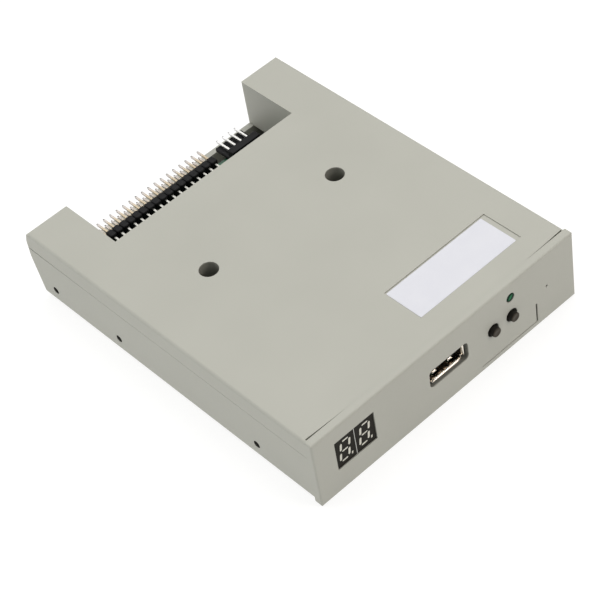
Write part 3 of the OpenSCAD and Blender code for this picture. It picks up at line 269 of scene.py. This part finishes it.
# Boards: glass-epoxy laminate under green solder mask. The mask is glossy and a little darker over
# bare laminate than over copper, so the tracks show as paler lines on a 1.27 mm grid.
over_laminate, over_paler_laminate, over_copper = "#123f2a", "#154730", "#1d6340"
track, track_gap, track_length, track_height, weave_size = 0.12, 1.27, 7.62, 0.03, 0.6
mask, shader = start_material("green_solder_mask", over_laminate, {"IOR": 1.5})
place = add(mask, "ShaderNodeTexCoord", {}).outputs["Object"]
tracks = add(mask, "ShaderNodeTexBrick",
             {"Vector": place, "Scale": 1.0, "Color1": linear(over_laminate),
              "Color2": linear(over_paler_laminate), "Mortar": linear(over_copper),
              "Mortar Size": track * MM, "Brick Width": track_length * MM, "Row Height": track_gap * MM},
             [("Color", shader.inputs["Base Color"])])
weave = add(mask, "ShaderNodeTexNoise", {"Vector": place, "Scale": per_mm(weave_size), "Detail": 2.0})
add(mask, "ShaderNodeMapRange",
    {"Value": weave.outputs["Fac"], "From Min": 0.3, "From Max": 0.7, "To Min": 0.25, "To Max": 0.38},
    [("Result", shader.inputs["Roughness"])])
add(mask, "ShaderNodeBump",
    {"Height": tracks.outputs["Fac"], "Strength": 0.3, "Distance": track_height * MM},
    [("Normal", shader.inputs["Normal"])])
dress(mask, "main_board", "display_board")


# Memory stick socket: a tube folded from 0.3 mm tin-plated steel, its mouth flared by four flaps, with
# two spring fingers cut and bowed out of the top and two out of the bottom. It stands on two legs. The
# tin is smooth, so it mirrors its surroundings, and a little warm in tone.
def grow_sheet(form, edge_row, move):
    """Extends a sheet from a row of edges by this move, and gives the new row."""
    grown = bmesh.ops.extrude_edge_only(form, edges=edge_row)["geom"]
    bmesh.ops.translate(form, vec=move, verts=points(grown))
    return [part for part in grown if isinstance(part, bmesh.types.BMEdge)]


CLOSE = 0.001
panel_y = -61.8
socket_low, socket_high = [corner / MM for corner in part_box("socket_shell")]
socket_x, socket_z = (socket_low.x + socket_high.x) / 2, 13.56
bend_y, socket_rear = panel_y + 1.75, panel_y + 15.1
sheet, mouth_w, mouth_h, fold_r = 0.3, 12.5, 5.12, 0.5
half_w, half_h = (mouth_w + sheet) / 2, (mouth_h + sheet) / 2

form = bmesh.new()
bmesh.ops.create_grid(form, x_segments=1, y_segments=1, size=1)
bmesh.ops.scale(form, vec=(half_w, half_h, 1), verts=form.verts)
bmesh.ops.bevel(form, geom=form.verts[:], offset=fold_r, segments=3, profile=0.5,
                affect="VERTICES", material=-1)
bmesh.ops.rotate(form, cent=(0, 0, 0), matrix=Matrix.Rotation(math.radians(90), 3, "X"), verts=form.verts)
bmesh.ops.translate(form, vec=(socket_x, bend_y, socket_z), verts=form.verts)
bmesh.ops.delete(form, geom=form.faces[:], context="FACES_ONLY")
grow_sheet(form, form.edges[:], (0, socket_rear - bend_y, 0))

finger_offset = 3.05
fingers_x = (socket_x - finger_offset, socket_x + finger_offset)
slot_front, slot_rear, slot_half = panel_y + 2.3, panel_y + 8.1, 1.1
slot_sides = [x + side * slot_half for x in fingers_x for side in (-1, 1)]
for spot, across in ([((x, 0, 0), (1, 0, 0)) for x in slot_sides]
                     + [((0, y, 0), (0, 1, 0)) for y in (slot_front, slot_rear)]):
    bmesh.ops.bisect_plane(form, geom=form.verts[:] + form.edges[:] + form.faces[:],
                           plane_co=spot, plane_no=across)
slots = [face for face in form.faces
         if slot_front < face.calc_center_median().y < slot_rear
         and abs(face.calc_center_median().z - socket_z) > half_h - CLOSE
         and min(abs(face.calc_center_median().x - x) for x in fingers_x) < slot_half]
bmesh.ops.delete(form, geom=slots, context="FACES")

# Each flap grows in steps, forward and out. Each finger grows in steps, forward and in.
flap_steps = ((0.12, 0.02), (0.25, 0.17), (0.28, 0.21))
middle = Vector((socket_x, 0, socket_z))
for outward, reach in ((Vector((0, 0, 1)), half_h), (Vector((0, 0, -1)), half_h),
                       (Vector((1, 0, 0)), half_w), (Vector((-1, 0, 0)), half_w)):
    edge_row = [edge for edge in form.edges
                if all(abs(vert.co.y - bend_y) < CLOSE
                       and abs((vert.co - middle).dot(outward) - reach) < CLOSE for vert in edge.verts)]
    for forward, out in flap_steps:
        edge_row = grow_sheet(form, edge_row, outward * out - Vector((0, forward, 0)))

finger_half = 0.8
finger_steps = ((1.4, 0.2), (1.4, 0.26), (1.2, 0.22), (0.6, 0.05), (0.25, -0.12), (0.12, -0.3),
                (0.06, -0.3))
for x in fingers_x:
    for side in (-1, 1):
        root = [form.verts.new((x + step, slot_rear, socket_z + side * half_h))
                for step in (-finger_half, finger_half)]
        edge_row = [form.edges.new(root)]
        for forward, inward in finger_steps:
            edge_row = grow_sheet(form, edge_row, (0, -forward, -side * inward))

leg_lap, leg_front, leg_rear = 0.46, panel_y + 8.1, panel_y + 10.3
hip_z = socket_z - half_h + leg_lap
for side in (-1, 1):
    hip = [form.verts.new((socket_x + side * half_w, y, hip_z)) for y in (leg_front, leg_rear)]
    grow_sheet(form, [form.edges.new(hip)], (0, 0, socket_low.z - hip_z))
bmesh.ops.recalc_face_normals(form, faces=form.faces)
tin_steel = plated("tin_plated_steel", "#e4dccd", "#f0e9dd", (0.16, 0.24), patch=3, grain=0.25)
socket_shell = add_object("socket_sheet_shell", form, tin_steel, wall=sheet)
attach(socket_shell, "housing")
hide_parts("socket_shell")

# Socket insides: a tongue moulded in black glass-filled resin, which its fibres make dull. Four
# contacts, stamped from pale phosphor bronze strip, lie below it with a bowed nose near the front,
# and their tails go down through the board.
black_resin = moulded("glass_filled_black_resin", "#111112", "#1b1b1c", (0.42, 0.58), patch=4, grain=0.3,
                      depth=0.015, shine=0.18)
dress(black_resin, "socket_tongue")
contacts_low, contacts_high = [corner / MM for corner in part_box("socket_contacts")]
strip, strip_w, contact_offsets = 0.2, 1.0, (-3.5, -1.0, 1.0, 3.5)
under_tongue, tail_y = contacts_high.z - strip / 2, contacts_high.y - strip / 2
# Each contact grows in steps, to the rear and up: its nose, a level run, the bend, and its tail.
nose_steps = ((0.35, -0.35), (0.35, -0.25), (0.4, 0.0), (0.6, 0.2), (1.2, 0.4))
bend_steps = ((0.5, -0.2), (0.2, -0.5))
level_run = tail_y - contacts_low.y - sum(back for back, up in nose_steps + bend_steps)
tail_rise = contacts_low.z - under_tongue - sum(up for back, up in nose_steps + bend_steps)
contact_steps = nose_steps + ((level_run, 0.0),) + bend_steps + ((0.0, tail_rise),)
form = bmesh.new()
for offset in contact_offsets:
    nose = [form.verts.new((socket_x + offset + side * strip_w / 2, contacts_low.y, under_tongue))
            for side in (-1, 1)]
    edge_row = [form.edges.new(nose)]
    for back, up in contact_steps:
        edge_row = grow_sheet(form, edge_row, (0, back, up))
bmesh.ops.recalc_face_normals(form, faces=form.faces)
bronze = plated("phosphor_bronze_strip", "#f0d6c0", "#f8e4d2", (0.3, 0.45), patch=2, grain=0.2)
socket_contacts = add_object("socket_contact_strips", form, bronze, wall=strip)
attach(socket_contacts, "housing")
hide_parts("socket_contacts")

# Display: two moulded housings side by side, their joint a bright line. A dark matt film covers each
# face, and the unlit bars show through it in cream diffusing resin. Tinned pins join it to its board,
# and a black strip with gold-flashed pins joins that to the main board.
housing_grey = moulded("display_housing_grey", "#b4b5b1", "#bcbdb8", (0.45, 0.6),
                       patch=5, grain=0.3, depth=0.01)
face_film = moulded("dark_display_film", "#15120a", "#1b170e", (0.5, 0.62),
                    patch=3, grain=0.25, depth=0.008, shine=0.12)
bar_resin = moulded("cream_diffusing_resin", "#c6c4b6", "#d6d4c8", (0.4, 0.55),
                    patch=1.5, grain=0.3, depth=0.01)
tin = plated("bright_tin_plate", "#bdbcb8", "#d3d2ce", (0.22, 0.36), patch=2, grain=0.2)
gold_flash = plated("gold_flashed_brass", "#b98f45", "#d2aa5e", (0.2, 0.32), patch=3, grain=0.2)
dress(housing_grey, "display_housings")
dress(face_film, "display_faces")
dress(bar_resin, "display_segments")
dress(tin, "display_pins")
dress(black_resin, "link_header")
dress(gold_flash, "link_pins")


# Status lamp: a 3 mm LED, cast in green-tinted clear resin round its leads, with a flattened dome and a
# rim at its foot. Its colour is paler along a tilted streak through the middle and painted darker towards
# the edge, as painted shade.
def turn_round(form, outline, x, z):
    """Spins an outline of (radius, y) points into a closed turned shape about an axis along Y."""
    chain = [form.verts.new((x + radius, y, z)) for radius, y in outline]
    edges = [form.edges.new(pair) for pair in zip(chain, chain[1:])]
    bmesh.ops.spin(form, geom=chain + edges, cent=(x, 0, z), axis=(0, 1, 0), angle=math.tau, steps=40,
                   use_merge=True)
    bmesh.ops.remove_doubles(form, verts=form.verts, dist=CLOSE)
    bmesh.ops.recalc_face_normals(form, faces=form.faces)


def round_edge(form, x, z, radius, y, size, segments):
    """Rounds the circular edge that has this radius about (x, z) and lies at y."""
    circle = [edge for edge in form.edges
              if all(abs(vert.co.y - y) < CLOSE
                     and abs(math.hypot(vert.co.x - x, vert.co.z - z) - radius) < CLOSE
                     for vert in edge.verts)]
    bmesh.ops.bevel(form, geom=circle, offset=size, segments=segments, profile=0.5,
                    affect="EDGES", material=-1)


lamp_x, lamp_z, lamp_tip = 24.9, 20.0, panel_y
lamp_r, rim_r, tip_r = 1.5, 1.9, 0.4
rim_front, rim_rear = panel_y + 4.25, panel_y + 5.25
form = bmesh.new()
turn_round(form, [(0, lamp_tip), (lamp_r, lamp_tip), (lamp_r, rim_front), (rim_r, rim_front),
                  (rim_r, rim_rear), (0, rim_rear)], lamp_x, lamp_z)
round_edge(form, lamp_x, lamp_z, lamp_r, lamp_tip, tip_r, segments=6)
# Painted shade: the resin is painted darker away from a paler, tilted streak through its middle, and is
# darkest towards the edge.
streak_green, edge_painted_shade = "#23804f", "#0a2e1e"
streak_inner, streak_outer, streak_narrowing, streak_turn = 0.3, 1.3, 0.35, math.radians(45)
ripple_size = 0.8
resin, shader = start_material("green_tinted_resin", streak_green, {"IOR": 1.5, "Specular IOR Level": 0.05})
place = add(resin, "ShaderNodeTexCoord", {}).outputs["Object"]
centred = add(resin, "ShaderNodeMapping",
              {"Vector": place, "Location": (lamp_x * MM, 0, lamp_z * MM),
               "Rotation": (0, streak_turn, 0), "Scale": (streak_narrowing, 0, 1)},
              vector_type="TEXTURE").outputs["Vector"]
spread = add(resin, "ShaderNodeVectorMath", {0: centred}, operation="LENGTH").outputs["Value"]
edge_shade_share = add(resin, "ShaderNodeMapRange",
          {"Value": spread, "From Min": streak_inner * MM, "From Max": streak_outer * MM}).outputs["Result"]
add(resin, "ShaderNodeMix", {SHARE: edge_shade_share, COLOUR_A: linear(streak_green), COLOUR_B: linear(edge_painted_shade)},
    [(MIXED, shader.inputs["Base Color"])], data_type="RGBA")
ripple = add(resin, "ShaderNodeTexNoise", {"Vector": place, "Scale": per_mm(ripple_size), "Detail": 2.0})
add(resin, "ShaderNodeMapRange", {"Value": ripple.outputs["Fac"], "To Min": 0.08, "To Max": 0.2},
    [("Result", shader.inputs["Roughness"])])
lamp = add_object("lamp_dome", form, resin)
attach(lamp, "housing")
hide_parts("lamp_lens")
dress(tin, "lamp_leads")

# Push buttons: the plungers of two key switches, moulded in black resin with a rounded front edge and a
# shallow dish, and a flange behind that a tinned plate keeps in the switch. The face keeps the resin's
# tone, and the sides behind it are painted darker, as painted shade.
button_z, button_front = 12.9, panel_y - 1.6
dish_r, dish_rim_r, stem_r, flange_r, tail_r, front_r = 0.7, 0.9, 1.55, 1.9, 1.0, 0.3
dish_middle, dish_edge = button_front + 0.08, button_front + 0.06
flange_front, flange_rear, tail_rear = panel_y + 4.0, panel_y + 4.7, panel_y + 5.1
charcoal = moulded("button_resin_painted_side_shade", "#3c372f", "#474138", (0.4, 0.55),
                   patch=2, grain=0.3, depth=0.015, shine=0.1)
# Painted shade: the plunger's sides are painted darker than its face, starting 0.12 mm behind the front
# and fully dark at 0.35 mm.
side_painted_shade, shade_from, shade_full = "#24221e", button_front + 0.12, button_front + 0.35
shader = charcoal.node_tree.nodes["Principled BSDF"]
face_tone = shader.inputs["Base Color"].links[0].from_socket
place = add(charcoal, "ShaderNodeTexCoord", {}).outputs["Object"]
along = add(charcoal, "ShaderNodeSeparateXYZ", {"Vector": place}).outputs["Y"]
side_shade_share = add(charcoal, "ShaderNodeMapRange",
             {"Value": along, "From Min": shade_from * MM, "From Max": shade_full * MM})
add(charcoal, "ShaderNodeMix",
    {SHARE: side_shade_share.outputs["Result"], COLOUR_A: face_tone, COLOUR_B: linear(side_painted_shade)},
    [(MIXED, shader.inputs["Base Color"])], data_type="RGBA")
for name, button_x, body, node in (("left_plunger", 17.4, "left_key", "left_button"),
                                   ("right_plunger", 24.9, "right_key", "right_button")):
    form = bmesh.new()
    turn_round(form, [(0, dish_middle), (dish_r, dish_edge), (dish_rim_r, button_front),
                      (stem_r, button_front), (stem_r, flange_front), (flange_r, flange_front),
                      (flange_r, flange_rear), (tail_r, flange_rear), (tail_r, tail_rear),
                      (0, tail_rear)], button_x, button_z)
    round_edge(form, button_x, button_z, stem_r, button_front, front_r, segments=5)
    plunger = add_object(name, form, charcoal)
    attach(plunger, body)
    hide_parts(node)
dress(black_resin, "left_switch_body", "right_switch_body")
dress(tin, "left_switch_plate", "right_switch_plate", "left_switch_dome", "right_switch_dome",
      "switch_legs")

# Data header: a strip of seventeen joined blocks moulded in black resin, notched between neighbours so
# that it can be broken to length. Each block holds two pins, one above the other.
pitch, columns = 2.54, 17
notch, crown_r = 0.65, 0.6
data_low, data_high = [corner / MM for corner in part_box("data_header")]
data_size, data_middle = data_high - data_low, (data_low + data_high) / 2
columns_x = [data_low.x + pitch * (i + 0.5) for i in range(columns)]
form = bmesh.new()
for x in columns_x:
    block = bmesh.ops.create_cube(form, size=1)["verts"]
    bmesh.ops.scale(form, vec=(pitch, data_size.y, data_size.z), verts=block)
    bmesh.ops.translate(form, vec=(x, data_middle.y, data_middle.z), verts=block)
upright = [edge for edge in form.edges if abs(edge.verts[0].co.z - edge.verts[1].co.z) > CLOSE]
bmesh.ops.bevel(form, geom=upright, offset=notch, segments=2, profile=0.5, affect="EDGES", material=-1)
crown = [edge for edge in form.edges if all(vert.co.z > data_high.z - CLOSE for vert in edge.verts)]
bmesh.ops.bevel(form, geom=crown, offset=crown_r, segments=4, profile=0.5, affect="EDGES", material=-1)
data_header = add_object("data_header_strip", form, black_resin)
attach(data_header, "housing")
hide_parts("data_header")


# Data pins: square brass wire, drawn, cut with pointed ends, bent to a right angle and pressed into the
# strip. They are tinned, with a pale gold flash on the middle of the contact length.
def bent_pin(form, x, leg_y, run_z, foot_z, tip_y, width):
    """A square pin: a leg up from the board, a rounded bend, and a level run to a tapered tip."""
    bend, taper, point_size = 1.4 * width, 0.9 * width, 0.45
    start = bmesh.ops.create_grid(form, x_segments=1, y_segments=1, size=width / 2,
                                  matrix=Matrix.Translation((x, leg_y, foot_z + taper)))["verts"]
    foot = start[0].link_faces[0]
    end = bmesh.ops.extrude_face_region(form, geom=[foot])["geom"]
    bmesh.ops.translate(form, vec=(0, 0, run_z - bend - foot_z - taper), verts=points(end))
    turned = bmesh.ops.spin(form, geom=end, cent=(x, leg_y + bend, run_z - bend), axis=(-1, 0, 0),
                            angle=math.radians(90), steps=4)["geom_last"]
    for reach, size in ((tip_y - taper - leg_y - bend, 1.0), (taper, point_size)):
        face = [part for part in turned if isinstance(part, bmesh.types.BMFace)]
        turned = bmesh.ops.extrude_face_region(form, geom=face)["geom"]
        moved = points(turned)
        bmesh.ops.translate(form, vec=(0, reach, 0), verts=moved)
        bmesh.ops.scale(form, vec=(size, 1, size), space=Matrix.Translation((-x, 0, -run_z)), verts=moved)
    moved = points(bmesh.ops.extrude_face_region(form, geom=[foot])["geom"])
    bmesh.ops.translate(form, vec=(0, 0, -taper), verts=moved)
    bmesh.ops.scale(form, vec=(point_size, point_size, 1), space=Matrix.Translation((-x, -leg_y, 0)),
                    verts=moved)


pin_width = 0.64
pins_low, pins_high = [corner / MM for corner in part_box("data_pins")]
form = bmesh.new()
for x in columns_x:
    for row_offset in (0.5 * pitch, 1.5 * pitch):
        bent_pin(form, x, data_low.y - row_offset, data_low.z + row_offset,
                 pins_low.z, pins_high.y, pin_width)
bmesh.ops.recalc_face_normals(form, faces=form.faces)


def drawn_pins(name, start_y, end_y, stops):
    """Plated drawn wire along Y: its tone changes at these shares of the way from start to end."""
    line_size = 0.3
    material, shader = start_material(name, stops[0][1], {"Metallic": 1.0})
    place = add(material, "ShaderNodeTexCoord", {}).outputs["Object"]
    along = add(material, "ShaderNodeSeparateXYZ", {"Vector": place}).outputs["Y"]
    share = add(material, "ShaderNodeMapRange",
                {"Value": along, "From Min": start_y * MM, "From Max": end_y * MM}).outputs["Result"]
    tone = add(material, "ShaderNodeValToRGB", {"Fac": share}, [("Color", shader.inputs["Base Color"])])
    for position, code in stops[1:-1]:
        tone.color_ramp.elements.new(position).color = linear(code)
    tone.color_ramp.elements[0].color = linear(stops[0][1])
    tone.color_ramp.elements[-1].color = linear(stops[-1][1])
    lines = add(material, "ShaderNodeTexNoise",
                {"Vector": place, "Scale": per_mm(line_size), "Detail": 2.0})
    add(material, "ShaderNodeMapRange", {"Value": lines.outputs["Fac"], "To Min": 0.32, "To Max": 0.52},
        [("Result", shader.inputs["Roughness"])])
    return material


flash_start = data_high.y - 1
flashed = drawn_pins("tinned_and_gold_flashed_brass", flash_start, pins_high.y,
                     ((0.0, "#b8b7b0"), (0.15, "#b9aa91"), (0.55, "#bdb09b"), (0.75, "#bdb5ae"),
                      (1.0, "#b8b3b0")))
data_pins = add_object("data_header_pins", form, flashed)
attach(data_pins, "housing")
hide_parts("data_pins")

# Power header: a black resin block on the board with a flat tongue under its pins, which guides the plug
# and keeps it the right way up. Four tinned pins come out of it above the tongue.
power_low, power_high = [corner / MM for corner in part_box("power_header")]
power_block_rear = panel_y + 112.4
block_edge_r, tongue_edge_r = 0.3, 0.35
tongue_inset, tongue_lap, tongue_under, tongue_top = 0.2, 0.4, 0.4, 1.6
form = bmesh.new()
for low, high, edge_r in (
        (power_low, (power_high.x, power_block_rear, power_high.z), block_edge_r),
        ((power_low.x + tongue_inset, power_block_rear - tongue_lap, power_low.z + tongue_under),
         (power_high.x - tongue_inset, power_high.y, power_low.z + tongue_top), tongue_edge_r)):
    low, high = Vector(low), Vector(high)
    block = bmesh.ops.create_cube(form, size=1)["verts"]
    bmesh.ops.scale(form, vec=high - low, verts=block)
    bmesh.ops.translate(form, vec=(low + high) / 2, verts=block)
    rims = [edge for edge in form.edges if all(vert in block for vert in edge.verts)
            and not all(abs(vert.co.z - low.z) < CLOSE for vert in edge.verts)]
    bmesh.ops.bevel(form, geom=rims, offset=edge_r, segments=3, profile=0.5, affect="EDGES", material=-1)
power_header = add_object("power_header_block", form, black_resin)
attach(power_header, "housing")
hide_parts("power_header")

power_pitch, power_columns = 2.5, 4
power_pins_low, power_pins_high = [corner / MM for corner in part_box("power_pins")]
power_x = (power_low.x + power_high.x) / 2
form = bmesh.new()
for i in range(power_columns):
    pin_x = power_x + (i - (power_columns - 1) / 2) * power_pitch
    bent_pin(form, pin_x, power_pins_low.y + pin_width / 2, power_pins_high.z - pin_width / 2,
             power_pins_low.z, power_pins_high.y, pin_width)
bmesh.ops.recalc_face_normals(form, faces=form.faces)
tinned = drawn_pins("tinned_brass", power_block_rear, power_pins_high.y,
                    ((0.0, "#dcdbd6"), (0.6, "#dddcd8"), (0.85, "#e0dfdf"), (1.0, "#e0dfdf")))
power_pins = add_object("power_header_pins", form, tinned)
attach(power_pins, "housing")
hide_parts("power_pins")

# Jumper and service headers: short black strips with upright gold-flashed pins pressed in, soldered to
# the main board. A shunt in the same resin bridges one pair of the jumper's pins.
dress(black_resin, "jumper_header", "jumper_cap", "service_header")
dress(gold_flash, "jumper_pins", "service_pins")

# Chips: silicon moulded in black epoxy, dull from the mould, on tinned copper leads that are soldered
# to the boards. The bases of the electrolytic capacitors are of the same kind of resin.
epoxy = moulded("moulded_black_epoxy", "#171718", "#1f1f20", (0.55, 0.7), patch=3, grain=0.25, depth=0.02)
dress(epoxy, "processor", "display_driver", "buffer_chips", "regulator", "capacitor_bases")
dress(tin, "processor_leads", "driver_leads", "buffer_leads", "regulator_leads", "crystal_leads")

# Crystal and electrolytic capacitors: drawn cans, nickel-plated steel and bare aluminium. Drawing
# leaves them bright, with a slight cloudiness.
nickel = plated("nickel_plated_can", "#a8a59d", "#bdbab2", (0.2, 0.32), patch=4, grain=0.2)
aluminium = plated("drawn_aluminium", "#b3b5b8", "#c6c8ca", (0.25, 0.38), patch=4, grain=0.2)
dress(nickel, "crystal_can")
dress(aluminium, "capacitor_cans")

# Chip resistors and capacitors: small blocks of fired ceramic soldered flat to the main board, the
# resistors under black glass and the capacitors bare and brown.
black_glaze = moulded("black_glazed_ceramic", "#1a1a1c", "#242427", (0.25, 0.4),
                      patch=0.8, grain=0.15, depth=0.005)
ceramic = moulded("fired_brown_ceramic", "#a88757", "#bb9a6a", (0.4, 0.55),
                  patch=0.8, grain=0.15, depth=0.005)
dress(black_glaze, "chip_resistors")
dress(ceramic, "chip_capacitors")
